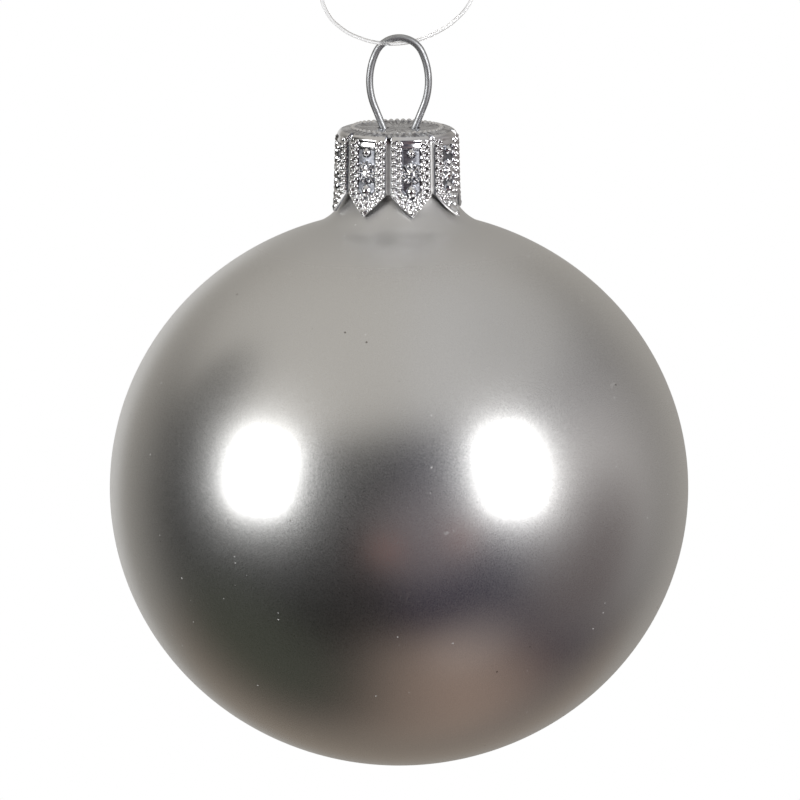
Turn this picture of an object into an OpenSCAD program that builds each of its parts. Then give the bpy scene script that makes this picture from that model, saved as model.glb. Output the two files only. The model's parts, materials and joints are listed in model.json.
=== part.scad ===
// Glass ball ornament: hollow glass ball, silver lining, stamped crown cap, wire hanger and thread.
// Millimetres, +Z up. The origin is the underside of the wire arch, where a hook or thread bears.

/* [Ball] */
// Greatest width of the glass ball
ball_d = 60; // [57:0.5:63]
// Height of the ball as a share of its width
ball_ratio = 0.96; // [0.94:0.01:1]
// Thickness of the glass
glass_t = 0.8; // [0.6:0.1:0.8]
// Outside radius of the neck
neck_r = 5.2; // [5:0.1:5.2]
// Radius of the flare between the neck and the ball
flare_r = 5.5; // [4:0.25:5.5]
// Thickness of the mirror lining, thicker than the real film so that it is a solid
lining_t = 0.15; // [0.1:0.05:0.2]
// Gap between the glass and the lining
lining_gap = 0.05; // [0.03:0.01:0.08]

/* [Cap] */
// Height of the cap's top above the centre of the ball
cap_rise = 37.7; // [37.5:0.1:38.2]
// Outside radius of the cap's plain wall
cap_r = 5.75; // [5.7:0.05:5.9]
// Thickness of the stamped sheet
sheet_t = 0.3; // [0.2:0.05:0.3]
// Number of petals
petals = 8; // [6:1:8]
// Width of one petal in degrees
petal_width = 40; // [34:1:42]
// Angle of the first petal from +X
petal_start = 14; // [0:1:45]
// Outside radius of the petals at their points
petal_tip_r = 7; // [6.9:0.05:7.1]

/* [Hanger] */
// Diameter of the wire
wire_d = 0.74; // [0.6:0.02:0.8]
// Radius of the arch at the top of the eye
arch_r = 2.62; // [2.5:0.02:2.8]
// Radius of the wide curve down each side of the eye
side_r = 7.1; // [7:0.1:8]
// Lean of the wire where it goes down into the cap, in degrees
leg_lean = 22; // [20:1:24]
// Length of each sprung leg in the neck
leg_length = 20; // [16:1:20]
// Outward lean of each sprung leg at rest, in degrees
leg_flare = 12; // [8:1:12]

/* [Thread] */
// Diameter of the nylon thread
thread_d = 0.38; // [0.3:0.01:0.4]
// Turn of the thread's plane from the plane of the eye, in degrees
thread_turn = 30; // [28:1:35]
// Width of the knot
knot_d = 1.3; // [1.1:0.1:1.6]

/* [Hidden] */

// Ball: an ellipse turned about Z, with a flare that meets it and the neck without a corner.
half_w = ball_d / 2;
half_h = half_w * ball_ratio;
ball_steps = 60;
flare_steps = 8;
lip_steps = 6;
lip_gap = 0.1;      // from the glass lip to the underside of the cap
turn_fn = 120;      // facets of the larger turned surfaces
wire_fn = 32;       // facets of the wire and the knot

// Eye of the wire, measured from the origin: arch, two side curves, two straight legs.
wire_r = wire_d / 2;
seam_swell = 0.02;  // extra radius where two stretches of wire join
arch_z = -wire_r - (arch_r - wire_d);
arch_end = 25;      // angle where the arch meets the side curves
side_x = (arch_r - side_r) * cos(arch_end);
side_z = arch_z + (arch_r - side_r) * sin(arch_end);
leg_top = [side_x + side_r * cos(leg_lean), side_z - side_r * sin(leg_lean)];

// Heights: the cap's top is where the straight legs have come in to their holes.
hole_x = 1.62;
hole_r = 0.6;
cap_z = leg_top[1] - (leg_top[0] - hole_x) / tan(leg_lean);
ball_z = cap_z - cap_rise;
pivot_drop = 0.85;  // from the cap's top to the bend of the wire under it
pivot = [hole_x - pivot_drop * tan(leg_lean), cap_z - pivot_drop];
pivot_gap = 0.03;   // between the loop's end and the ball end of a leg

// Cap heights, measured down from its top.
crown_drop = 1.2;       // where the rounded shoulder reaches its full radius
wall_drop = 6;          // end of the plain wall; the petals run on as one sheet
taper_drop = 6.2;       // where the petals begin to narrow
tip_drop = 8.6;
shoulder_r = 5.3;       // radius where the flat top turns down
shoulder_steps = 6;
petal_top_r = 6.45;
petal_pitch = 360 / petals;

// Beads and the boss down the middle of each petal: depth, radius, how far they sink in.
petal_beads = [[1.95, 0.45, 0.1], [3.9, 1.05, 0.7], [5.75, 0.6, 0.2]];

// Thread: route of its centre line in its own plane, [across, height], from knot to knot.
thread_route = [
    [-0.2, 25], [-1.4, 23.5], [-3.2, 21.4], [-5.2, 18.7], [-7, 15.6], [-8.5, 12.3], [-9.4, 9],
    [-9.4, 6], [-8.5, 3.5], [-6.8, 1.8], [-4.6, 0.65], [-2.3, -0.02], [0, -0.24], [2.3, -0.02],
    [4.6, 0.65], [6.8, 1.8], [8.5, 3.5], [9.4, 6], [9.4, 9], [8.5, 12.3], [7, 15.6], [5.2, 18.7],
    [3.2, 21.4], [1.4, 23.5], [0.2, 25]
];
thread_sides = 8;
rings_per_span = 3;
knot_z = 25.7;
knot_h = 1.9;
tail_d = 0.38;
tail_length = 4.5;
tail_lean = 28;

// Angle on the ellipse where a flare of the right radius also touches the neck.
function normal_at(t) =
    let (v = [half_h * cos(t), half_w * sin(t)]) v / norm(v);
function flare_error(t) =
    half_w * cos(t) + flare_r * normal_at(t)[0] - (neck_r + flare_r);
function flare_angle(low, high, n = 30) =
    let (mid = (low + high) / 2)
    n == 0 ? mid : flare_error(mid) > 0 ? flare_angle(mid, high, n - 1) : flare_angle(low, mid, n - 1);
meet = flare_angle(45, 89);
flare_c = [neck_r + flare_r, half_h * sin(meet) + flare_r * normal_at(meet)[1]];
flare_from = atan2(normal_at(meet)[1], normal_at(meet)[0]);

// One surface of the ball as [radius, height], moved inwards by inset all along.
function ball_outline(inset, top) = concat(
    [for (i = [0:ball_steps])
        let (t = -90 + (meet + 90) * i / ball_steps)
        [half_w * cos(t), half_h * sin(t)] - inset * normal_at(t)],
    [for (i = [1:flare_steps])
        let (a = 180 + flare_from * (1 - i / flare_steps))
        flare_c + (flare_r + inset) * [cos(a), sin(a)]],
    [[neck_r - inset, top]]
);
function backwards(list) = [for (i = [len(list) - 1:-1:0]) list[i]];

// Rounded lip between the two sides of the neck.
function lip(inset, t, top) = [
    for (i = [1:lip_steps - 1])
        [neck_r - inset - t / 2, top] + t / 2 * [cos(180 * i / lip_steps), sin(180 * i / lip_steps)]
];

module shell(inset, t, top) {
    neck_top = top - t / 2;
    rotate_extrude($fn = turn_fn)
        polygon(concat(
            ball_outline(inset, neck_top),
            lip(inset, t, neck_top),
            backwards(ball_outline(inset + t, neck_top))
        ));
}

module glass_ball() {
    color([0.72, 0.71, 0.7])
        translate([0, 0, ball_z])
            shell(0, glass_t, cap_rise - sheet_t - lip_gap);
}

module silver_lining() {
    color([0.86, 0.87, 0.88])
        translate([0, 0, ball_z])
            shell(glass_t + lining_gap, lining_t, cap_rise - sheet_t - lip_gap - glass_t);
}

// Outside radius of a petal at a depth below the cap's top.
function petal_r(depth) =
    petal_top_r + (petal_tip_r - petal_top_r) * (depth - crown_drop) / (tip_drop - crown_drop);

// Cup of the cap: flat top, rounded shoulder, wall, and one sheet that runs on below it.
module cap_shell() {
    wall_in = cap_r - sheet_t;
    rotate_extrude($fn = turn_fn)
        polygon(concat(
            [[0, -sheet_t], [0, 0]],
            [for (i = [0:shoulder_steps])
                let (a = 90 * i / shoulder_steps)
                [shoulder_r + (petal_top_r - shoulder_r) * sin(a), -crown_drop * (1 - cos(a))]],
            [
                [petal_tip_r, -tip_drop],
                [petal_tip_r - sheet_t, -tip_drop],
                [petal_r(wall_drop) - sheet_t, -wall_drop],
                [wall_in, -wall_drop],
                [wall_in, -sheet_t]
            ]
        ));
}

// Gap between two petals: a groove down to the plain wall, then an open V between their points.
module petal_gap() {
    gap = petal_tip_r * sin((petal_pitch - petal_width) / 2);
    reach = petal_tip_r * sin(petal_pitch / 2);
    slope = (tip_drop - taper_drop) / (reach - gap);
    low = tip_drop + 1;
    wide = gap + (low - taper_drop) / slope;
    difference() {
        rotate([90, 0, 90])
            linear_extrude(height = petal_tip_r + 1)
                polygon([
                    [-gap, 1], [gap, 1], [gap, -taper_drop], [wide, -low],
                    [-wide, -low], [-gap, -taper_drop]
                ]);
        translate([0, 0, -2 * tip_drop])
            cylinder(h = 3 * tip_drop, r = cap_r, $fn = turn_fn);
    }
}

// Round bead that stands proud of a petal and ends inside its wall.
module petal_bead(depth, radius, sink) {
    difference() {
        translate([petal_r(depth) - sink, 0, -depth])
            sphere(r = radius, $fn = wire_fn);
        translate([0, 0, -tip_drop])
            cylinder(h = tip_drop, r = cap_r - sheet_t / 2, $fn = turn_fn);
    }
}

module crown_cap() {
    color([0.82, 0.82, 0.8])
        translate([0, 0, cap_z])
            difference() {
                union() {
                    cap_shell();
                    for (i = [0:petals - 1])
                        rotate([0, 0, petal_start + i * petal_pitch])
                            for (bead = petal_beads)
                                petal_bead(bead[0], bead[1], bead[2]);
                }
                for (i = [0:petals - 1])
                    rotate([0, 0, petal_start + (i + 0.5) * petal_pitch])
                        petal_gap();
                for (side = [-1, 1])
                    translate([side * hole_x, 0, -2 * sheet_t])
                        cylinder(h = 4 * sheet_t, r = hole_r, $fn = wire_fn);
            }
}

// Arc of wire in the XZ plane about [x, z], from one angle to another.
module wire_arc(centre, radius, from, to) {
    translate([centre[0], 0, centre[1]])
        rotate([90, 0, 0])
            rotate([0, 0, from])
                rotate_extrude(angle = to - from, $fn = turn_fn)
                    translate([radius, 0])
                        circle(d = wire_d, $fn = wire_fn);
}

// Ball that joins two stretches of wire into one solid.
module wire_seam(at) {
    translate([at[0], 0, at[1]])
        sphere(r = wire_r + seam_swell, $fn = wire_fn);
}

module hanger_loop() {
    straight = norm(leg_top - pivot) - wire_r - pivot_gap;
    color([0.66, 0.66, 0.65]) {
        wire_arc([0, arch_z], arch_r, arch_end, 180 - arch_end);
        for (side = [0, 1])
            mirror([side, 0, 0]) {
                wire_arc([side_x, side_z], side_r, -leg_lean, arch_end);
                wire_seam([0, arch_z] + arch_r * [cos(arch_end), sin(arch_end)]);
                wire_seam(leg_top);
                translate([leg_top[0], 0, leg_top[1]])
                    rotate([0, 180 + leg_lean, 0])
                        cylinder(h = straight, d = wire_d, $fn = wire_fn);
            }
    }
}

// Sprung leg: a straight wire with round ends, leaning out from the bend under the cap.
module spring_leg(side) {
    color([0.66, 0.66, 0.65])
        translate([side * pivot[0], 0, pivot[1]])
            rotate([0, 180 - side * leg_flare, 0]) {
                sphere(d = wire_d, $fn = wire_fn);
                cylinder(h = leg_length - wire_r, d = wire_d, $fn = wire_fn);
                translate([0, 0, leg_length - wire_r])
                    sphere(d = wire_d, $fn = wire_fn);
            }
}

module spring_leg_left() spring_leg(-1);

module spring_leg_right() spring_leg(1);

// Point on a smooth curve through p1 and p2, with p0 and p3 as its neighbours.
function spline_point(p0, p1, p2, p3, t) =
    0.5 * (2 * p1 + (p2 - p0) * t + (2 * p0 - 5 * p1 + 4 * p2 - p3) * t * t
        + (3 * p1 - 3 * p2 + p3 - p0) * t * t * t);
function spline(p) = concat(
    [for (i = [0:len(p) - 2])
        for (k = [0:rings_per_span - 1])
            spline_point(
                i > 0 ? p[i - 1] : 2 * p[0] - p[1], p[i], p[i + 1],
                i < len(p) - 2 ? p[i + 2] : 2 * p[i + 1] - p[i], k / rings_per_span)],
    [p[len(p) - 1]]
);

// Tube of n sides along points in the XZ plane.
module flat_tube(points, d, n) {
    last = len(points) - 1;
    ring = [for (i = [0:last])
        let (v = points[min(i + 1, last)] - points[max(i - 1, 0)], u = v / norm(v))
        for (k = [0:n - 1])
            let (a = 360 * k / n)
            [points[i][0] - u[1] * d / 2 * cos(a), d / 2 * sin(a), points[i][1] + u[0] * d / 2 * cos(a)]];
    walls = [for (i = [0:last - 1])
        for (k = [0:n - 1])
            [i * n + k, i * n + (k + 1) % n, (i + 1) * n + (k + 1) % n, (i + 1) * n + k]];
    polyhedron(
        points = ring,
        faces = concat(walls, [backwards([for (k = [0:n - 1]) k])], [[for (k = [0:n - 1]) last * n + k]])
    );
}

module hanging_thread() {
    color([0.9, 0.9, 0.92])
        rotate([0, 0, thread_turn])
            flat_tube(spline(thread_route), thread_d, thread_sides);
}

module thread_knot() {
    color([0.9, 0.9, 0.92])
        rotate([0, 0, thread_turn])
            translate([0, 0, knot_z]) {
                rotate_extrude($fn = wire_fn)
                    polygon([for (i = [0:12])
                        [knot_d / 2 * sin(15 * i), knot_h / 2 * cos(15 * i)]]);
                for (side = [-1, 1])
                    rotate([0, side * tail_lean, 0])
                        cylinder(h = tail_length, d = tail_d, $fn = wire_fn);
            }
}

hanging_thread();
thread_knot();
hanger_loop();
spring_leg_left();
spring_leg_right();
crown_cap();
glass_ball();
silver_lining();
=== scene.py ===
import json
import math

import bmesh
import bpy
import numpy as np
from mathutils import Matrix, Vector


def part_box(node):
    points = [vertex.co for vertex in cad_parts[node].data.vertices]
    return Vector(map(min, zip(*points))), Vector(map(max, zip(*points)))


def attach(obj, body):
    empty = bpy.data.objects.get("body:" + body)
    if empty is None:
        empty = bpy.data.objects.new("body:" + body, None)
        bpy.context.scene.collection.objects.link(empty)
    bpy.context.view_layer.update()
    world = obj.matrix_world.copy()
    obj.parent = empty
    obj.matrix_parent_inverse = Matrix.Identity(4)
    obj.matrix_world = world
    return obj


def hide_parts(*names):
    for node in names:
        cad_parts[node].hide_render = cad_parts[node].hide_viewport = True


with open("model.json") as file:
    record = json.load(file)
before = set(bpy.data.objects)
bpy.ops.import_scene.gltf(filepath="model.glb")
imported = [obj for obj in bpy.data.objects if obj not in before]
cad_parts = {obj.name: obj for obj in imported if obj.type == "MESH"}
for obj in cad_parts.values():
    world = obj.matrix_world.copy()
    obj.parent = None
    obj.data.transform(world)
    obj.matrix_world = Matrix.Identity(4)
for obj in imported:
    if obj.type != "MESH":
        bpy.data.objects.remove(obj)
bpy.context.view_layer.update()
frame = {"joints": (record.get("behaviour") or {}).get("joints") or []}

MM = 0.001

# Places, all from the CAD frame
BALL_LOW, BALL_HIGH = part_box("glass_ball")
CAP_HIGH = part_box("crown_cap")[1]
EYE_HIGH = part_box("hanger_loop")[1]
JOINTS = {j["name"]: j for j in frame["joints"]}

# Ball: ellipse of revolution with a flare up to the neck
BALL_RATIO = 0.96
HALF_W = (BALL_HIGH.x - BALL_LOW.x) / 2
HALF_H = HALF_W * BALL_RATIO
BALL_Z = BALL_LOW.z + HALF_H
LIP_Z = BALL_HIGH.z
NECK_R = 5.2 * MM
FLARE_R = 5.5 * MM
FLARE_STEPS = 14
NECK_STEPS = 8
GLASS_T = 0.8 * MM
LINING_GAP = 0.05 * MM
LINING_T = 0.15 * MM
FROST_LOW = CAP_HIGH.z - 14 * MM       # the lacquer turns frosted from here
FROST_HIGH = CAP_HIGH.z - 9.5 * MM     # up to here

# Cap, which sits a little to one side on the neck
CAP_Z = CAP_HIGH.z
CAP_X = -0.2 * MM
PETALS = 8
PETAL_START = math.radians(14)
BENT_PETAL = 7

# All cap sizes in mm; depths run down from the flat top, along the outside of the petals
CENTRE_R = 2.9            # flat middle, filled round the two wire holes
BEAD_RING_R = 4.6
FLAT_R = 5.44             # where the flat top ends
CORNER = 0.75             # radius of the tight corner, which turns down to its lean
CORNER_LEAN = math.radians(18)
BAND = 2.6                # radius of the wider band below it, down to the wall
WALL_LEAN = math.radians(1.5)
PETAL_R = (FLAT_R + CORNER * math.cos(CORNER_LEAN)
           + BAND * (math.cos(WALL_LEAN) - math.cos(CORNER_LEAN)))
PETAL_DROP = (CORNER * (1 - math.sin(CORNER_LEAN))
              + BAND * (math.sin(CORNER_LEAN) - math.sin(WALL_LEAN)))
GROOVE_R = 5.7            # bottom of the grooves between the petals
GROOVE_DROP = 0.6
GROOVE_SPREAD = 0.15
SPLIT = 5.95              # the petals part here
TAPER = 6.2               # and narrow from here
TIP = 8.45                # down to here
TIP_SPREAD = 0.3
HALF_PETAL = 2.22
EDGE_LENGTH = math.hypot(HALF_PETAL, TIP - TAPER)
SHEET = 0.2
INNER_TOP = 0.3
INNER_SET_IN = 0.12
BEND_DEPTH = 6.9          # the bent petal's tip turns out below this
BEND_OUT = 0.42
BEND_DOWN = 0.12
TOP_WAVE = 0.03
RIM_BEADS = 46
ROPE_PITCH = 0.77         # length of one bead of the rope borders
STAR_DEPTH = 3.9
STAR_R = 1.25
STAR_BEADS_R = 0.93
HOLE_X = 1.62
HOLE_R = 0.6
HOLE_SIDES = 32
STREAKS = 15              # waves of the streak noise along the radius of its circle

# Round bosses down the middle of a petal, in mm: depth, half width, half height, how proud
BOSSES = ((1.8, 0.46, 0.46, 0.44), (5.8, 0.55, 0.70, 0.48), (7.9, 0.32, 0.36, 0.36))

# Wire
WIRE_R = 0.37 * MM
ARCH_R = 2.62 * MM
SIDE_R = 7.1 * MM
ARCH_END = math.radians(25)
LEG_LEAN = math.radians(22)
LEG_LENGTH = 20 * MM
LEG_FLARE = math.radians(12)
LEG_BOW = 0.12 * MM
WIRE_SIDES = 20

# Thread, in metres in its own plane: across, height
THREAD_D = 0.00038
THREAD_TURN = math.radians(30)
THREAD_ROUTE = [
    (-0.0002, 0.025), (-0.0014, 0.0235), (-0.0032, 0.0214), (-0.0052, 0.0187),
    (-0.007, 0.0156), (-0.0085, 0.0123), (-0.0094, 0.009), (-0.0094, 0.006),
    (-0.0085, 0.0035), (-0.0068, 0.0018), (-0.0046, 0.00065), (-0.0023, -0.00002),
    (0, -0.00024), (0.0023, -0.00002), (0.0046, 0.00065), (0.0068, 0.0018),
    (0.0085, 0.0035), (0.0094, 0.006), (0.0094, 0.009), (0.0085, 0.0123),
    (0.007, 0.0156), (0.0052, 0.0187), (0.0032, 0.0214), (0.0014, 0.0235), (0.0002, 0.025),
]
THREAD_SIDES = 12
KNOT_HALF_W = 0.42 * MM
KNOT_HALF_H = 0.62 * MM
KNOT_RISE = 0.75 * MM
TAIL_LENGTH = 4.3 * MM
TAIL_LEAN = math.radians(26)

# Camera: straight on to the wire eye, a little above
CAMERA_RISE = math.radians(9.5)
CAMERA_DISTANCE = 1.5
VIEW_WIDTH = 82.9 * MM
AIM_ABOVE_BALL = 9.2 * MM
AIM_RIGHT = 0.1 * MM

# Studio: soft boxes as azimuth, rise, width, height and watts, at one distance from the ball
BOX_DISTANCE = 0.6
LEFT_BOX = (-57, 12, 0.22, 0.25, 1.5)
RIGHT_BOX = (46, 15, 0.18, 0.28, 1.7)
FLOOR_R = 0.42
FLOOR_Z = -0.3
FLOOR_GLOW = 0.3


# ---------------------------------------------------------------- camera and studio

def make_camera():
    back = Vector((0, -math.cos(CAMERA_RISE), math.sin(CAMERA_RISE)))
    data = bpy.data.cameras.new("camera")
    camera = bpy.data.objects.new("camera", data)
    bpy.context.collection.objects.link(camera)
    aim = Vector((AIM_RIGHT, 0, BALL_Z + AIM_ABOVE_BALL))
    camera.location = aim + back * CAMERA_DISTANCE
    camera.rotation_euler = (-back).to_track_quat("-Z", "Y").to_euler()
    data.lens = data.sensor_width * CAMERA_DISTANCE / VIEW_WIDTH
    data.clip_start = 0.01
    data.clip_end = 20
    bpy.context.scene.camera = camera


def direction(azimuth, rise):
    """Unit vector seen from the ball: azimuth from the front (-Y) towards +X, and rise above level."""
    a, e = math.radians(azimuth), math.radians(rise)
    return Vector((math.sin(a) * math.cos(e), -math.cos(a) * math.cos(e), math.sin(e)))


def soft_box(name, azimuth, rise, width, height, watts):
    light = bpy.data.lights.new(name, "AREA")
    light.shape = "RECTANGLE"
    light.size = width
    light.size_y = height
    light.energy = watts
    obj = bpy.data.objects.new(name, light)
    bpy.context.collection.objects.link(obj)
    toward = direction(azimuth, rise)
    obj.location = Vector((0, 0, BALL_Z)) + toward * BOX_DISTANCE
    obj.rotation_euler = (-toward).to_track_quat("-Z", "Y").to_euler()


def make_floor():
    """Small pale disc under the ornament, lit but kept out of its reflections, and clear from below."""
    bm = bmesh.new()
    bmesh.ops.create_circle(bm, cap_ends=True, radius=FLOOR_R, segments=96)
    mesh = bpy.data.meshes.new("floor")
    bm.to_mesh(mesh)
    bm.free()
    floor = bpy.data.objects.new("floor", mesh)
    bpy.context.collection.objects.link(floor)
    floor.location.z = FLOOR_Z
    floor.visible_glossy = False
    mat, g, shader = material("floor_paint")
    shader.inputs["Base Color"].default_value = (0.9, 0.9, 0.9, 1)
    shader.inputs["Roughness"].default_value = 0.9
    shader.inputs["Emission Color"].default_value = (1, 1, 1, 1)
    shader.inputs["Emission Strength"].default_value = FLOOR_GLOW
    under = g.add("ShaderNodeNewGeometry").outputs["Backfacing"]
    g.put(shader.inputs["Alpha"], g.math("SUBTRACT", 1.0, under))
    floor.data.materials.append(mat)


class Graph:
    """Short helper for node trees."""

    def __init__(self, tree):
        self.tree = tree
        self.nodes = tree.nodes

    def add(self, kind, **settings):
        node = self.nodes.new(kind)
        for key, value in settings.items():
            setattr(node, key, value)
        return node

    def put(self, socket, value):
        if isinstance(value, bpy.types.NodeSocket):
            self.tree.links.new(value, socket)
        else:
            socket.default_value = value

    def math(self, operation, a, b=0.0, c=0.0):
        node = self.add("ShaderNodeMath", operation=operation)
        for socket, value in zip(node.inputs, (a, b, c)):
            self.put(socket, value)
        return node.outputs[0]

    def ramp(self, value, low, high, out_low=0.0, out_high=1.0):
        node = self.add("ShaderNodeMapRange", interpolation_type="SMOOTHSTEP")
        for socket, v in zip(node.inputs, (value, low, high, out_low, out_high)):
            self.put(socket, v)
        return node.outputs[0]

    def mix(self, factor, a, b):
        node = self.add("ShaderNodeMix", data_type="RGBA")
        self.put(node.inputs[0], factor)
        self.put(node.inputs[6], a)
        self.put(node.inputs[7], b)
        return node.outputs[2]

    def noise(self, vector, scale, detail):
        node = self.add("ShaderNodeTexNoise")
        self.put(node.inputs["Vector"], vector)
        node.inputs["Scale"].default_value = scale
        node.inputs["Detail"].default_value = detail
        return node.outputs["Fac"]

    def dot(self, vector, other):
        node = self.add("ShaderNodeVectorMath", operation="DOT_PRODUCT")
        self.put(node.inputs[0], vector)
        node.inputs[1].default_value = other
        return node.outputs["Value"]

    def vector(self, operation, a, b=(0, 0, 0)):
        node = self.add("ShaderNodeVectorMath", operation=operation)
        self.put(node.inputs[0], a)
        if operation != "NORMALIZE":
            self.put(node.inputs[1], b)
        return node.outputs["Vector"]

    def length(self, vector):
        node = self.add("ShaderNodeVectorMath", operation="LENGTH")
        self.put(node.inputs[0], vector)
        return node.outputs["Value"]

    def bump(self, height, strength, distance):
        node = self.add("ShaderNodeBump")
        self.put(node.inputs["Height"], height)
        node.inputs["Strength"].default_value = strength
        node.inputs["Distance"].default_value = distance
        return node.outputs["Normal"]


# Studio surroundings, as the ball reflects them: left, middle and right of each band
CEILING = ((0.50, 0.48, 0.45, 1), (0.52, 0.51, 0.50, 1), (0.45, 0.44, 0.43, 1))
WALL = ((0.0, 0.0, 0.0, 1), (0.0, 0.0, 0.02, 1), (0.65, 0.62, 0.60, 1))
GROUND = ((0.02, 0.02, 0.02, 1), (0.15, 0.12, 0.10, 1), (0.30, 0.22, 0.18, 1))
BEHIND_HIGH = (0.40, 0.38, 0.35, 1)
BEHIND_LOW = (0.35, 0.30, 0.25, 1)
BACKGROUND = (1.0, 1.0, 1.0, 1)

# Soft tones in the room: azimuth, rise and spread in degrees, strength, colour
TABLE = (10, -10, 30, 0.35, (0.40, 0.35, 0.35, 1))
LEFT_HAND = (-5, -15, 10, 0.4, (0.45, 0.20, 0.15, 1))
RIGHT_HAND = (25, -10, 10, 0.4, (0.45, 0.20, 0.15, 1))
STAND = (85, -20, 35, 0.9, (0.10, 0.08, 0.08, 1))
CHAIR = (45, -55, 20, 0.2, (0.80, 0.70, 0.65, 1))
PLANT = (-90, -50, 35, 0.45, (0.10, 0.11, 0.08, 1))
CURTAIN = (-95, 30, 20, 0.8, (0.0, 0.0, 0.0, 1))
WINDOW = (-165, -5, 25, 0.5, (1.0, 1.0, 1.0, 1))


def left_to_right(g, side, colours, left, right):
    """Left, middle and right colour, blended over two soft edges, each from one place to another."""
    first = g.mix(g.ramp(side, *left), colours[0], colours[1])
    return g.mix(g.ramp(side, *right), first, colours[2])


def patch(g, way, colour, azimuth, rise, spread, strength, tint):
    """Soft round patch of another tone in one direction, such as a table or a window."""
    near = g.dot(way, direction(azimuth, rise))
    edge = math.cos(math.radians(spread))
    return g.mix(g.ramp(near, edge, 1, 0, strength), colour, tint)


def surroundings(g):
    """Colour of the studio in every direction: a dark front between a pale ceiling and a warm floor."""
    way = g.add("ShaderNodeTexCoord").outputs["Generated"]
    up = g.dot(way, (0, 0, 1))
    side = g.dot(way, (1, 0, 0))
    behind = g.dot(way, (0, 1, 0))
    ceiling = left_to_right(g, side, CEILING, (-0.1, 0.2), (0.2, 0.6))
    wall = left_to_right(g, side, WALL, (-0.2, 0.2), (0.6, 1.2))
    ground = left_to_right(g, side, GROUND, (-0.4, 0.0), (-0.2, 0.3))

    colour = g.mix(g.ramp(up, -0.95, -0.7), ground, wall)
    for tone in (TABLE, LEFT_HAND, RIGHT_HAND, STAND, CHAIR, PLANT):
        colour = patch(g, way, colour, *tone)
    drop = g.math("MULTIPLY", g.math("MINIMUM", side, 0.0), -0.2)
    colour = g.mix(g.ramp(g.math("ADD", up, drop), 0.4, 0.75), colour, ceiling)
    back = g.mix(g.ramp(up, -0.6, -0.4), BEHIND_LOW, BEHIND_HIGH)
    colour = g.mix(g.ramp(behind, 0.05, 1.05), colour, back)
    for tone in (WINDOW, CURTAIN):
        colour = patch(g, way, colour, *tone)
    return colour


def make_world():
    """Studio for the reflections, and plain white behind the object."""
    world = bpy.data.worlds.new("studio")
    bpy.context.scene.world = world
    world.use_nodes = True
    g = Graph(world.node_tree)
    g.nodes.clear()
    path = g.add("ShaderNodeLightPath")
    up = g.math("ABSOLUTE", g.dot(g.add("ShaderNodeTexCoord").outputs["Generated"], (0, 0, 1)))
    through = g.math("MULTIPLY", path.outputs["Is Transmission Ray"], g.ramp(up, 0.5, 0.3))
    straight = g.math("MAXIMUM", path.outputs["Is Camera Ray"], through)
    seen = g.add("ShaderNodeBackground")
    seen.inputs["Color"].default_value = BACKGROUND
    studio = g.add("ShaderNodeBackground")
    g.put(studio.inputs["Color"], surroundings(g))
    blend = g.add("ShaderNodeMixShader")
    g.put(blend.inputs[0], straight)
    g.put(blend.inputs[1], studio.outputs[0])
    g.put(blend.inputs[2], seen.outputs[0])
    out = g.add("ShaderNodeOutputWorld")
    g.put(out.inputs["Surface"], blend.outputs[0])


def make_studio():
    make_world()
    make_floor()
    soft_box("soft_box_left", *LEFT_BOX)
    soft_box("soft_box_right", *RIGHT_BOX)
    bpy.context.scene.view_settings.view_transform = "Standard"


# ---------------------------------------------------------------- materials

def material(name):
    mat = bpy.data.materials.new(name)
    mat.use_nodes = True
    g = Graph(mat.node_tree)
    shader = mat.node_tree.nodes["Principled BSDF"]
    return mat, g, shader


def lacquer():
    """Satin silver lacquer, more frosted towards the neck, with tiny pits, specks and scratches."""
    mat, g, shader = material("satin_silver_lacquer")
    place = g.add("ShaderNodeTexCoord").outputs["Object"]
    grain = g.noise(place, 30000, 1)
    broad = g.noise(place, 60, 3)
    frosted = g.ramp(g.dot(place, (0, 0, 1)), FROST_LOW, FROST_HIGH)
    pale, dark = specks(g, place)
    scratch = hairlines(g, place)

    base = g.mix(broad, (0.79, 0.785, 0.775, 1), (0.81, 0.81, 0.80, 1))
    base = g.mix(g.math("MULTIPLY", frosted, 0.5), base, (0.55, 0.54, 0.52, 1))
    base = g.mix(dark, base, (0.25, 0.23, 0.22, 1))
    base = g.mix(g.math("MULTIPLY", pale, 0.6), base, (0.95, 0.95, 0.95, 1))
    g.put(shader.inputs["Base Color"], base)
    metal = g.math("SUBTRACT", 1.0, g.math("MULTIPLY", frosted, 0.35))
    g.put(shader.inputs["Metallic"], g.math("SUBTRACT", metal, g.math("MULTIPLY", pale, 0.5)))
    rough = g.ramp(grain, 0.42, 0.58, 0.24, 0.38)
    rough = g.math("ADD", rough, g.ramp(broad, 0.3, 0.7, -0.015, 0.015))
    rough = g.math("ADD", rough, g.math("MULTIPLY", g.math("MAXIMUM", pale, scratch), 0.1))
    g.put(shader.inputs["Roughness"], g.math("ADD", rough, g.math("MULTIPLY", frosted, 0.12)))
    pits = g.math("SUBTRACT", g.math("MULTIPLY", g.noise(place, 5000, 2), 0.12), dark)
    g.put(shader.inputs["Normal"], g.bump(pits, 0.2, 0.00002))
    return mat


def specks(g, place):
    """Two masks of tiny round marks, pale specks and fewer dark pits, one in some of the cells."""
    cells = g.add("ShaderNodeTexVoronoi", feature="F1")
    g.put(cells.inputs["Vector"], place)
    g.put(cells.inputs["Scale"], 900)
    chance = g.dot(cells.outputs["Color"], (1, 0, 0))
    size = g.ramp(g.dot(cells.outputs["Color"], (0, 1, 0)), 0, 1, 0.03, 0.1)
    inside = g.math("LESS_THAN", cells.outputs["Distance"], size)
    pale = g.math("MULTIPLY", inside, g.math("GREATER_THAN", chance, 0.85))
    dark = g.math("MULTIPLY", inside, g.math("LESS_THAN", chance, 0.04))
    return pale, dark


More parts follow.
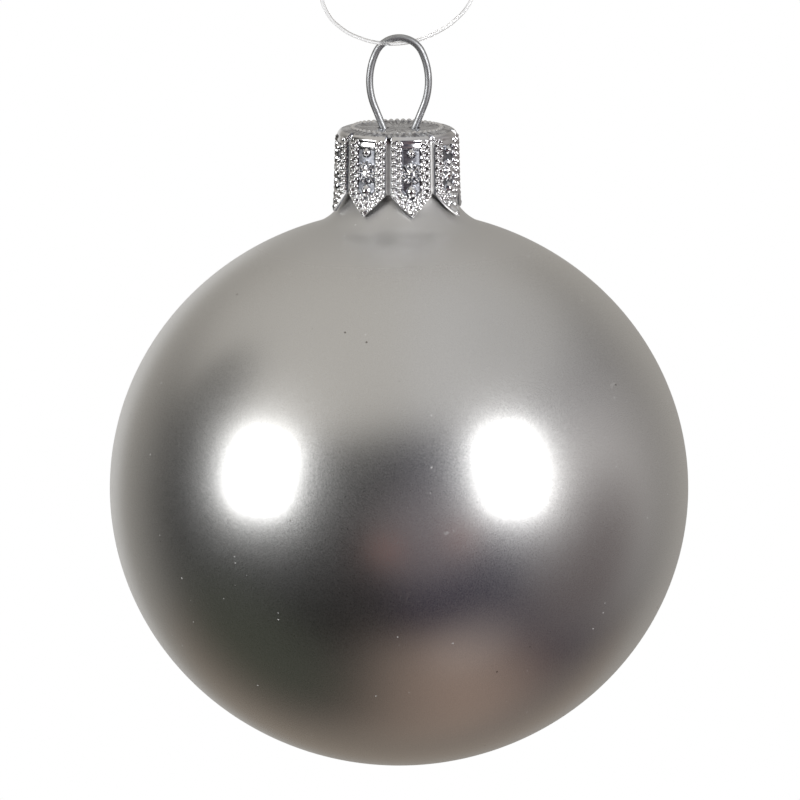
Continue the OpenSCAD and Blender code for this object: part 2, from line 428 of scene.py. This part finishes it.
def hairlines(g, place):
    """Sparse thin scratches: the level lines of a stretched noise, kept in a few patches only."""
    turn = g.add("ShaderNodeMapping")
    g.put(turn.inputs["Vector"], place)
    turn.inputs["Rotation"].default_value = (0.4, 0.7, 0.3)
    turn.inputs["Scale"].default_value = (420, 60, 120)
    wave = g.noise(turn.outputs[0], 1.0, 1)
    line = g.math("LESS_THAN", g.math("ABSOLUTE", g.math("SUBTRACT", wave, 0.5)), 0.0016)
    return g.math("MULTIPLY", line, g.math("GREATER_THAN", g.noise(place, 500, 1), 0.68))


def sheet_masks(g, place, radius):
    """Where the cap's sheet is in a groove, in a hollow of a petal, on top, and dull on top; the hollows
    carry painted shade and the dull top carries painted streak reflections.
    """
    depth = g.math("MULTIPLY", g.math("SUBTRACT", CAP_Z, g.dot(place, (0, 0, 1))), 1 / MM)
    spread = g.math("MAXIMUM", g.math("SUBTRACT", depth, SPLIT), 0.0)
    spread = g.math("MULTIPLY", g.math("MULTIPLY", spread, spread), TIP_SPREAD / (TIP - SPLIT) ** 2)
    slope = math.tan(WALL_LEAN)
    sheet_r = g.math("MULTIPLY_ADD", depth, slope, PETAL_R - PETAL_DROP * slope)
    proud = g.math("SUBTRACT", radius, g.math("ADD", sheet_r, spread))
    groove = g.math("MULTIPLY", g.ramp(proud, -0.28, -0.42), g.ramp(depth, 0.6, 1.2))
    hollow = g.math("MULTIPLY", g.ramp(proud, -0.07, -0.17), g.ramp(depth, 1.1, 1.4))
    on_top = g.math("MULTIPLY", g.ramp(depth, 0.45, 0.2), g.ramp(radius, FLAT_R + 0.55, FLAT_R + 0.25))
    off_ring = g.math("ABSOLUTE", g.math("SUBTRACT", radius, BEAD_RING_R))
    return groove, hollow, on_top, g.math("MULTIPLY", on_top, g.ramp(off_ring, 0.15, 0.3))


def bright_sheet():
    """Thin bright stamped metal: polished where proud, dull in the hollows with painted shade, and dull
    on top with painted light and dark streak reflections.
    """
    mat, g, shader = material("bright_stamped_sheet")
    place = g.add("ShaderNodeTexCoord").outputs["Object"]
    flat = g.vector("MULTIPLY", g.vector("SUBTRACT", place, (CAP_X, 0, 0)), (1 / MM, 1 / MM, 0))
    groove, hollow, on_top, dull_top_with_painted_reflection = sheet_masks(g, place, g.length(flat))
    around = g.vector("MULTIPLY", g.vector("NORMALIZE", flat), (STREAKS, STREAKS, 0))
    streaks = g.noise(g.vector("ADD", around, g.vector("MULTIPLY", flat, (0.5, 0.5, 0))), 1.0, 3)
    grain = g.noise(place, 3500, 3)

    # Painted reflection: pale and dark streaks on the dull top stand in for how its radial crimps catch
    # the light; the crimps themselves are bumped below.
    painted_top_streaks = g.math("MULTIPLY", g.ramp(streaks, 0.40, 0.60), g.ramp(grain, 0.3, 0.6, 0.5, 1.0))
    painted_top_reflection = g.mix(painted_top_streaks, (0.24, 0.24, 0.27, 1), (0.90, 0.93, 0.97, 1))
    # Painted shade: the petals' hollows are darkened in colour, a little unevenly.
    painted_hollow_shade = g.math("MULTIPLY", hollow, g.ramp(grain, 0.3, 0.6, 0.75, 1.0))
    base = g.mix(painted_hollow_shade, (0.90, 0.90, 0.91, 1), (0.25, 0.26, 0.29, 1))
    base = g.mix(groove, base, (0.92, 0.92, 0.91, 1))
    g.put(shader.inputs["Base Color"], g.mix(g.ramp(dull_top_with_painted_reflection, 0, 1, 0, 0.95), base, painted_top_reflection))
    shader.inputs["Metallic"].default_value = 1.0

    rough = g.ramp(g.noise(place, 900, 3), 0.3, 0.7, 0.13, 0.21)
    for mask, more in ((hollow, 0.12), (groove, 0.36), (dull_top_with_painted_reflection, 0.12)):
        rough = g.math("ADD", rough, g.math("MULTIPLY", mask, more))
    g.put(shader.inputs["Roughness"], rough)
    ripple = g.math("MULTIPLY", g.noise(place, 2600, 2), 0.15)
    ripple = g.math("ADD", ripple, g.math("MULTIPLY", on_top, streaks))
    g.put(shader.inputs["Normal"], g.bump(ripple, 0.45, 0.00006))
    return mat


def drawn_wire():
    """Drawn spring steel, dulled by fine lines along it."""
    mat, g, shader = material("drawn_steel_wire")
    uv = g.add("ShaderNodeTexCoord").outputs["UV"]
    stretch = g.add("ShaderNodeMapping")
    g.put(stretch.inputs["Vector"], uv)
    stretch.inputs["Scale"].default_value = (1.2, 26, 1)
    lines = g.noise(stretch.outputs[0], 1.0, 3)
    base = g.mix(g.ramp(lines, 0.3, 0.7), (0.44, 0.45, 0.46, 1), (0.62, 0.63, 0.64, 1))
    g.put(shader.inputs["Base Color"], base)
    shader.inputs["Metallic"].default_value = 1.0
    g.put(shader.inputs["Roughness"], g.ramp(lines, 0.3, 0.7, 0.52, 0.40))
    g.put(shader.inputs["Normal"], g.bump(lines, 0.25, 0.00002))
    return mat


def nylon():
    """Clear monofilament, a little uneven."""
    mat, g, shader = material("clear_nylon")
    place = g.add("ShaderNodeTexCoord").outputs["Object"]
    cloud = g.noise(place, 700, 2)
    g.put(shader.inputs["Base Color"], g.mix(cloud, (0.97, 0.97, 0.975, 1), (0.99, 0.99, 0.99, 1)))
    g.put(shader.inputs["Roughness"], g.ramp(cloud, 0.3, 0.7, 0.01, 0.05))
    shader.inputs["Transmission Weight"].default_value = 0.85
    shader.inputs["IOR"].default_value = 1.53
    return mat


def mirror_film():
    """Inside silvering, a little uneven where it pooled."""
    mat, g, shader = material("silver_mirror_film")
    place = g.add("ShaderNodeTexCoord").outputs["Object"]
    pool = g.noise(place, 220, 3)
    g.put(shader.inputs["Base Color"], g.mix(pool, (0.88, 0.87, 0.84, 1), (0.95, 0.95, 0.95, 1)))
    shader.inputs["Metallic"].default_value = 1.0
    g.put(shader.inputs["Roughness"], g.ramp(pool, 0.3, 0.7, 0.04, 0.12))
    return mat


# ---------------------------------------------------------------- mesh helpers

END_STEPS = 5    # rings in the round end of a tube


def new_piece(name, verts, faces, mat, smooth_angle):
    mesh = bpy.data.meshes.new(name)
    mesh.from_pydata([tuple(v) for v in verts], [], faces)
    mesh.validate()
    mesh.materials.append(mat)
    mesh.shade_smooth()
    mesh.set_sharp_from_angle(angle=math.radians(smooth_angle))
    piece = bpy.data.objects.new(name, mesh)
    bpy.context.collection.objects.link(piece)
    return piece


def grid_faces(rows, columns, flip=False):
    """Four-sided faces between closed rows of points, each row joined to the next."""
    faces = []
    for i in range(rows - 1):
        for j in range(columns):
            k = (j + 1) % columns
            a, b = i * columns + j, i * columns + k
            c, d = b + columns, a + columns
            faces.append((d, c, b, a) if flip else (a, b, c, d))
    return faces


def lathe(outline, segments):
    """Closed surface of revolution of a list of (radius, z) from pole to pole."""
    ring = [(math.cos(t), math.sin(t)) for t in np.linspace(0, math.tau, segments, endpoint=False)]
    verts = [(r * c, r * s, z) for r, z in outline[1:-1] for c, s in ring]
    faces = grid_faces(len(outline) - 2, segments)
    first, last = len(verts), len(verts) + 1
    verts += [(0, 0, outline[0][1]), (0, 0, outline[-1][1])]
    base = (len(outline) - 3) * segments
    for j in range(segments):
        k = (j + 1) % segments
        faces.append((first, k, j))
        faces.append((last, base + j, base + k))
    return verts, faces


def tube_frames(points):
    """Every point with its direction along the tube and two directions across it."""
    last = len(points) - 1
    tangents = [(points[min(i + 1, last)] - points[max(i - 1, 0)]).normalized() for i in range(last + 1)]
    aside = tangents[0].orthogonal().normalized()
    frames = []
    for p, t in zip(points, tangents):
        aside = (aside - t * aside.dot(t)).normalized()
        frames.append((p, t, aside, t.cross(aside)))
    return frames


def tube(points, radius, sides):
    """Tube with round ends along points, with the length and turn of every vertex."""
    points = [Vector(p) for p in points]
    lengths = [0.0]
    for a, b in zip(points, points[1:]):
        lengths.append(lengths[-1] + (b - a).length)
    frames = tube_frames(points)
    turns = [math.pi / 2 * (i + 0.5) / END_STEPS for i in range(END_STEPS)]
    p, t, u, v = frames[0]
    rings = [(p - t * radius * math.sin(a), u, v, radius * math.cos(a), 0.0) for a in reversed(turns)]
    rings += [(p, u, v, radius, length) for (p, t, u, v), length in zip(frames, lengths)]
    p, t, u, v = frames[-1]
    rings += [(p + t * radius * math.sin(a), u, v, radius * math.cos(a), lengths[-1]) for a in turns]
    verts, marks = [], []
    for p, u, v, r, length in rings:
        for j in range(sides):
            a = math.tau * j / sides
            verts.append(p + u * (r * math.cos(a)) + v * (r * math.sin(a)))
            marks.append((length, j / sides))
    faces = grid_faces(len(rings), sides)
    n = len(verts)
    faces.append(tuple(reversed(range(sides))))
    faces.append(tuple(range(n - sides, n)))
    return verts, faces, marks


def wire_piece(name, points, mat):
    """Round wire along points, with the length along it and the turn round it as UVs."""
    verts, faces, marks = tube(points, WIRE_R, WIRE_SIDES)
    piece = new_piece(name, verts, faces, mat, 60)
    layer = piece.data.uv_layers.new(name="along")
    for polygon in piece.data.polygons:
        for loop in polygon.loop_indices:
            length, turn = marks[piece.data.loops[loop].vertex_index]
            layer.data[loop].uv = (length / MM, turn)
    return piece


# ---------------------------------------------------------------- ball

def ellipse_normal(t):
    v = np.array([HALF_H * math.cos(t), HALF_W * math.sin(t)])
    return v / np.linalg.norm(v)


def flare_meets():
    """Angle on the ellipse where the flare's circle also touches the neck."""
    low, high = math.radians(45), math.radians(89)
    for _ in range(40):
        t = (low + high) / 2
        error = HALF_W * math.cos(t) + FLARE_R * ellipse_normal(t)[0] - (NECK_R + FLARE_R)
        low, high = (t, high) if error > 0 else (low, t)
    return t


def ball_outline(inset, top, steps):
    """Outline of the ball, flare and neck from the bottom up, set in from the outside of the glass."""
    meet = flare_meets()
    n = ellipse_normal(meet)
    centre = np.array([HALF_W * math.cos(meet), HALF_H * math.sin(meet)]) + FLARE_R * n
    start = math.atan2(n[1], n[0]) + math.pi
    points = []
    for i in range(steps + 1):
        t = -math.pi / 2 + (meet + math.pi / 2) * i / steps
        p = np.array([HALF_W * math.cos(t), HALF_H * math.sin(t)]) - inset * ellipse_normal(t)
        points.append((max(p[0], 0.0), p[1] + BALL_Z))
    for i in range(1, FLARE_STEPS + 1):
        a = start + (math.pi - start) * i / FLARE_STEPS
        p = centre + (FLARE_R + inset) * np.array([math.cos(a), math.sin(a)])
        points.append((p[0], p[1] + BALL_Z))
    neck_low = points[-1][1]
    for i in range(1, NECK_STEPS + 1):
        points.append((NECK_R - inset, neck_low + (top - neck_low) * i / NECK_STEPS))
    return points


def shell_outline(inset, thick, top, steps, inner_steps):
    """Outline of a whole shell: up the outside, over the round lip and down the inside."""
    lip_z = top - thick / 2
    middle = NECK_R - inset - thick / 2
    lip = [(middle + thick / 2 * math.cos(a), lip_z + thick / 2 * math.sin(a))
           for a in np.linspace(0, math.pi, 9)[1:-1]]
    outer = ball_outline(inset, lip_z, steps)
    inner = ball_outline(inset + thick, lip_z, inner_steps)
    return outer + lip + inner[::-1]


def make_ball():
    outline = shell_outline(0, GLASS_T, LIP_Z, 130, 70)
    verts, faces = lathe(outline, 200)
    ball = new_piece("satin_glass_ball", verts, faces, lacquer(), 50)
    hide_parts("glass_ball")
    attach(ball, "ball")


def make_lining():
    inset = GLASS_T + LINING_GAP
    outline = shell_outline(inset, LINING_T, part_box("silver_lining")[1].z, 80, 60)
    verts, faces = lathe(outline, 128)
    lining = new_piece("silver_film", verts, faces, mirror_film(), 50)
    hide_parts("silver_lining")
    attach(lining, "ball")


# ---------------------------------------------------------------- cap

def smooth(x, low, high):
    t = np.clip((x - low) / (high - low), 0, 1)
    return t * t * (3 - 2 * t)


def dome(d2, power=0.8):
    """Height of a round bead from the square of the distance over its radius."""
    return np.clip(1 - d2, 0, 1) ** power


def rope(edge, along, place, phase, slant):
    """Row of slanted oval beads, at a set distance in from the petal's edge."""
    u = edge - place
    v = (np.mod(along / ROPE_PITCH + phase, 1) - 0.5) * ROPE_PITCH
    p = u * math.cos(slant) + v * math.sin(slant)
    q = v * math.cos(slant) - u * math.sin(slant)
    return 0.26 * dome((p / 0.29) ** 2 + (q / 0.36) ** 2)


def star(x, y):
    """Burst of eight ridges round a tilted peak, with a small bead between each two."""
    rho = np.hypot(x, y - STAR_DEPTH)
    turn = np.arctan2(y - STAR_DEPTH, x)
    off_ridge = rho * np.abs(np.sin(4 * turn)) / 4
    ridge = 0.42 * np.clip(1 - rho / STAR_R, 0, 1) ** 0.6 * dome((off_ridge / 0.12) ** 2)
    high = np.maximum(ridge, (0.42 + 0.18 * (y - STAR_DEPTH)) * smooth(rho, 0.58, 0.22))
    for k in range(8):
        a = math.pi / 8 + k * math.pi / 4
        dx = x - STAR_BEADS_R * math.cos(a)
        dy = y - STAR_DEPTH - STAR_BEADS_R * math.sin(a)
        high = np.maximum(high, 0.24 * dome((dx ** 2 + dy ** 2) / 0.2 ** 2))
    return high


def petal_relief(x, y):
    """Relief of one petal, x across it and y down it, with the distance in from its edge."""
    ax = np.abs(x)
    side = HALF_PETAL - ax
    slant = ((TIP - y) * HALF_PETAL - ax * (TIP - TAPER)) / EDGE_LENGTH
    edge = np.minimum(side, slant)
    round_corner = TAPER + (side * HALF_PETAL + (y - TAPER) * (TIP - TAPER)) / EDGE_LENGTH
    along = np.where(side < slant, y, round_corner)
    sunk = -0.10 * smooth(edge, 0.08, 0.18) * smooth(y, 0.45, 0.8)
    sunk = sunk - 0.12 * smooth(edge, 1.15, 1.3) * smooth(y, 1.2, 1.5)
    high = np.maximum(rope(edge, along, 0.36, 0.0, 0.3), rope(edge, along, 0.93, 0.5, -0.3))
    high = high * smooth(y, 0.45, 0.8)
    high = np.maximum(high, star(x, y))
    for depth, wide, tall, proud in BOSSES:
        high = np.maximum(high, proud * dome((x / wide) ** 2 + ((y - depth) / tall) ** 2))
    fold = 0.09 * np.exp(-((edge - 0.03) / 0.06) ** 2)
    return sunk + high + fold * smooth(y, 0.8, 1.4), edge


def shoulder(share):
    """Point and outward normal of the petals' shoulder, from the flat top (0) to the wall (1)."""
    corner = np.array([FLAT_R, -CORNER])
    if share < 0.5:
        lean = math.pi / 2 + (CORNER_LEAN - math.pi / 2) * 2 * share
        centre, radius = corner, CORNER
    else:
        lean = CORNER_LEAN + (WALL_LEAN - CORNER_LEAN) * (2 * share - 1)
        centre = corner + (CORNER - BAND) * np.array([math.cos(CORNER_LEAN), math.sin(CORNER_LEAN)])
        radius = BAND
    normal = np.array([math.cos(lean), math.sin(lean)])
    return centre + radius * normal, normal


def groove_top(share):
    """Where the bottom of a groove leaves the flat top and turns down."""
    a = share * math.pi / 2
    return FLAT_R + (GROOVE_R - FLAT_R) * math.sin(a), -GROOVE_DROP * (1 - math.cos(a))


def cap_columns():
    """Angle of every column, with its petal and its place across the petal."""
    pitch = math.tau / PETALS
    half = HALF_PETAL / PETAL_R
    gap = [half + (pitch - 2 * half) * f for f in (0.12, 0.5, 0.88)]
    middle = list(np.linspace(-0.93, 0.93, 64))
    inside = [half * s for s in [-1, -0.985, -0.96] + middle + [0.96, 0.985, 1]]
    columns = []
    for k in range(PETALS):
        for offset in inside + gap:
            columns.append((PETAL_START + k * pitch + offset, k, offset / half * HALF_PETAL))
    return columns


def rim_beads(phi, r):
    """Ring of small crimped beads a little inside the rim of the flat top."""
    turn = (np.mod(phi * RIM_BEADS / math.tau, 1) - 0.5) * math.tau / RIM_BEADS * BEAD_RING_R
    return 0.22 * dome((turn / 0.27) ** 2 + ((r - BEAD_RING_R) / 0.3) ** 2)


def top_wave(phi, r):
    """Slight wave of the thin sheet round its flat top."""
    return TOP_WAVE * np.sin(5 * phi + r * 3)


def top_row(phi, r):
    """Flat top: a low ridge with a ring of beads on it, and a slight wave."""
    ridge = 0.08 * smooth(r, 3.2, BEAD_RING_R) * smooth(r, FLAT_R, BEAD_RING_R)
    return np.full_like(phi, r), rim_beads(phi, r) + ridge + top_wave(phi, r) * smooth(r, 3, 4)


def on_petal(x):
    """True on a petal and on its very edge, false in the gap beside it."""
    return np.abs(x) <= HALF_PETAL * 1.0001


def bent_tip(petal, y):
    """How far the tip of the one bent petal goes out and down."""
    past = (petal == BENT_PETAL) * np.clip(y - BEND_DEPTH, 0, None)
    return BEND_OUT * past ** 1.5, BEND_DOWN * past


def wall_row(petal, x, groove, petal_at, normal, y):
    """One row of the sheet, from its place in a groove and its place and depth on a petal."""
    relief, edge = petal_relief(x, y)
    raised = np.maximum(smooth(edge, -0.01, 0.13), smooth(y, SPLIT - 0.2, TAPER)) * on_petal(x)
    relief = relief * smooth(edge, 0.0, 0.05)
    out, down = bent_tip(petal, y)
    r = groove[0] + raised * (petal_at[0] + relief * normal[0] - groove[0]) + out
    z = groove[1] + raised * (petal_at[1] + relief * normal[1] - groove[1]) - down
    return r, z


def shoulder_rows(phi, petal, x):
    """Rows over the shoulder, where the relief's depth runs on along the sheet."""
    shares = np.linspace(0, 1, 29)
    places = [shoulder(share) for share in shares]
    steps = [np.linalg.norm(b[0] - a[0]) for a, b in zip(places, places[1:])]
    depth = PETAL_DROP - sum(steps)
    rows = []
    for share, step, (at, normal) in zip(shares[1:], steps, places[1:]):
        depth += step
        r, z = wall_row(petal, x, groove_top(share), at, normal, np.full_like(x, depth))
        rows.append((r, z + top_wave(phi, FLAT_R) * (1 - smooth(share, 0.1, 0.5))))
    return rows


def lower_end(x):
    """Depth of the sheet's lower edge: pointed on a petal, straight across a gap."""
    ax = np.abs(x)
    return np.where(ax <= HALF_PETAL, TIP - (TIP - TAPER) * ax / HALF_PETAL, TAPER - 0.02)


def petal_radius(y):
    """Outside of the petals: an almost upright wall, spreading below the split."""
    spread = np.clip((y - SPLIT) / (TIP - SPLIT), 0, 1) ** 2
    return PETAL_R + (y - PETAL_DROP) * math.tan(WALL_LEAN) + TIP_SPREAD * spread


def outer_rows(phi, petal, x):
    """Outer side of the sheet, from the flat middle over the shoulder and down to the tips."""
    rows = [top_row(phi, r) for r in np.linspace(CENTRE_R, FLAT_R, 24)]
    rows += shoulder_rows(phi, petal, x)
    level = (1.0, 0.0)
    for f in np.linspace(0, 1, 70)[1:]:
        y = np.full_like(x, PETAL_DROP + (SPLIT - PETAL_DROP) * f)
        groove = (GROOVE_R + GROOVE_SPREAD * f, -(GROOVE_DROP + (SPLIT - GROOVE_DROP) * f))
        rows.append(wall_row(petal, x, groove, (petal_radius(y), -y), level, y))
    for f in np.linspace(0, 1, 31)[1:]:
        y = SPLIT + (lower_end(x) - SPLIT) * f
        groove = (GROOVE_R + GROOVE_SPREAD, -y)
        rows.append(wall_row(petal, x, groove, (petal_radius(y), -y), level, y))
    return rows


def inner_row(petal, x, y):
    """Inner side of the sheet, plain, following the petals below the wall."""
    raised = np.maximum(smooth(HALF_PETAL - np.abs(x), 0, 0.14), smooth(y, SPLIT - 0.2, TAPER))
    raised = raised * on_petal(x)
    lift = (petal_radius(y) - INNER_SET_IN - GROOVE_R) * smooth(y, TAPER - 1.6, TAPER + 0.2)
    out, down = bent_tip(petal, y)
    return GROOVE_R - SHEET + raised * lift + out, -y - down


def inner_rows(petal, x):
    """Inner side of the sheet, from the tips up, round the corner and in to the flat middle."""
    rows = [inner_row(petal, x, SPLIT + (lower_end(x) - SPLIT) * f) for f in np.linspace(1, 0, 6)]
    rows += [inner_row(petal, x, np.full_like(x, y)) for y in np.linspace(SPLIT, 2 * INNER_TOP, 4)[1:]]
    for a in (0.5, 1.0, math.pi / 2):
        rows.append((np.full_like(x, GROOVE_R - SHEET - INNER_TOP * (1 - math.cos(a))),
                     np.full_like(x, INNER_TOP * (math.sin(a) - 2))))
    rows.append((np.full_like(x, CENTRE_R), np.full_like(x, -INNER_TOP)))
    return rows


def cap_mesh():
    """The whole pressed sheet, both sides, as one closed mesh."""
    columns = cap_columns()
    phi, petal, x = (np.array(values) for values in zip(*columns))
    rows = outer_rows(phi, petal, x) + inner_rows(petal, x)
    verts = []
    for r, z in rows:
        for a, rr, zz in zip(phi, r, z):
            verts.append((CAP_X + rr * MM * math.cos(a), rr * MM * math.sin(a), CAP_Z + zz * MM))
    mesh = bpy.data.meshes.new("petalled_cap")
    mesh.from_pydata(verts, [], grid_faces(len(rows), len(columns), flip=True))
    bm = bmesh.new()
    bm.from_mesh(mesh)
    bm.verts.ensure_lookup_table()
    close_top(bm, bm.verts[:len(columns)], bm.verts[-len(columns):])
    bmesh.ops.recalc_face_normals(bm, faces=bm.faces)
    bm.to_mesh(mesh)
    bm.free()
    return mesh


def make_cap():
    mesh = cap_mesh()
    mesh.materials.append(bright_sheet())
    mesh.shade_smooth()
    mesh.set_sharp_from_angle(angle=math.radians(60))
    cap = bpy.data.objects.new("petalled_cap", mesh)
    bpy.context.collection.objects.link(cap)
    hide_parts("crown_cap")
    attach(cap, "hanger")


def close_top(bm, outer, inner):
    """Fills the flat middle of the cap on both sides, round two punched wire holes."""
    rings = []
    for z in (0.0, -INNER_TOP):
        for side in (-1, 1):
            ring = [bm.verts.new(((side * HOLE_X + HOLE_R * math.cos(a)) * MM,
                                  HOLE_R * math.sin(a) * MM, CAP_Z + z * MM))
                    for a in np.linspace(0, math.tau, HOLE_SIDES, endpoint=False)]
            rings.append(ring)
    for rim, holes in ((list(outer), rings[:2]), (list(inner), rings[2:])):
        edges = []
        for loop in [rim] + holes:
            for a, b in zip(loop, loop[1:] + loop[:1]):
                edges.append(bm.edges.get((a, b)) or bm.edges.new((a, b)))
        bmesh.ops.triangle_fill(bm, use_beauty=True, use_dissolve=False, edges=edges)
    for top, under in zip(rings[:2], rings[2:]):
        for j in range(HOLE_SIDES):
            k = (j + 1) % HOLE_SIDES
            bm.faces.new((top[j], top[k], under[k], under[j]))


# ---------------------------------------------------------------- wire

def eye_path():
    """Centre line of the wire from the left bend, up and round the eye, to the right bend."""
    arch_z = EYE_HIGH.z - WIRE_R - ARCH_R
    side_x = (ARCH_R - SIDE_R) * math.cos(ARCH_END)
    side_z = arch_z + (ARCH_R - SIDE_R) * math.sin(ARCH_END)
    foot = Vector(JOINTS["right_leg_squeeze"]["pos_m"])
    low = Vector((side_x + SIDE_R * math.cos(LEG_LEAN), 0, side_z - SIDE_R * math.sin(LEG_LEAN)))
    half = [foot.lerp(low, f) for f in np.linspace(0.14, 1, 14)[:-1]]
    for a in np.linspace(-LEG_LEAN, ARCH_END, 22)[:-1]:
        half.append(Vector((side_x + SIDE_R * math.cos(a), 0, side_z + SIDE_R * math.sin(a))))
    for a in np.linspace(ARCH_END, math.pi / 2, 22):
        half.append(Vector((ARCH_R * math.cos(a), 0, arch_z + ARCH_R * math.sin(a))))
    left = [Vector((-p.x, 0, p.z)) for p in half]
    return left + half[::-1][1:]


def make_wire():
    mat = drawn_wire()
    eye = wire_piece("wire_eye", eye_path(), mat)
    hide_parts("hanger_loop")
    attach(eye, "hanger")
    for side, word in ((-1, "left"), (1, "right")):
        pivot = Vector(JOINTS[word + "_leg_squeeze"]["pos_m"])
        down = Vector((side * math.sin(LEG_FLARE), 0, -math.cos(LEG_FLARE)))
        out = Vector((math.cos(LEG_FLARE), 0, side * math.sin(LEG_FLARE))) * side
        path = [pivot + down * (LEG_LENGTH - WIRE_R) * f + out * LEG_BOW * math.sin(math.pi * f)
                for f in np.linspace(0, 1, 26)]
        leg = wire_piece("wire_leg_" + word, path, mat)
        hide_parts("spring_leg_" + word)
        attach(leg, word + "_leg")


# ---------------------------------------------------------------- thread

def in_thread_plane(across, height, out=0.0):
    """Point in the upright plane of the thread loop, which is turned from the wire's."""
    c, s = math.cos(THREAD_TURN), math.sin(THREAD_TURN)
    return Vector((across * c - out * s, across * s + out * c, height))


def make_knot(mat):
    """Overhand knot that closes the loop, with its two cut ends."""
    middle = THREAD_ROUTE[0][1] + KNOT_RISE
    points = []
    for t in np.linspace(0, math.tau, 61)[:-1]:
        wide = KNOT_HALF_W * (2 + math.cos(3 * t)) / 3
        height = middle + KNOT_HALF_H * math.sin(3 * t)
        points.append(in_thread_plane(wide * math.cos(2 * t), height, wide * math.sin(2 * t)))
    verts, faces, _ = tube(points + points[:1], THREAD_D / 2, THREAD_SIDES)
    for side in (-1, 1):
        tail = []
        for f in np.linspace(0, 1, 14):
            lean = TAIL_LEAN * f ** 0.7
            reach = TAIL_LENGTH * f
            tail.append(in_thread_plane(side * reach * math.sin(lean), middle + reach * math.cos(lean)))
        more, more_faces, _ = tube(tail, THREAD_D / 2, THREAD_SIDES)
        faces += [tuple(i + len(verts) for i in f) for f in more_faces]
        verts += more
    knot = new_piece("nylon_knot", verts, faces, mat, 60)
    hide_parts("thread_knot")
    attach(knot, "thread")
    return knot


def make_thread():
    mat = nylon()
    curve = bpy.data.curves.new("nylon_thread", "CURVE")
    curve.dimensions = "3D"
    spline = curve.splines.new("BEZIER")
    spline.bezier_points.add(len(THREAD_ROUTE) - 1)
    for point, (across, height) in zip(spline.bezier_points, THREAD_ROUTE):
        point.co = in_thread_plane(across, height)
        point.handle_left_type = point.handle_right_type = "AUTO"
    spline.resolution_u = 8
    curve.bevel_depth = THREAD_D / 2
    curve.bevel_resolution = 3
    curve.use_fill_caps = True
    curve.materials.append(mat)
    thread = bpy.data.objects.new("nylon_thread", curve)
    bpy.context.collection.objects.link(thread)
    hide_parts("hanging_thread")
    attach(thread, "thread")
    knot = make_knot(mat)


make_camera()
make_thread()
make_studio()
make_ball()
make_lining()
make_cap()
make_wire()
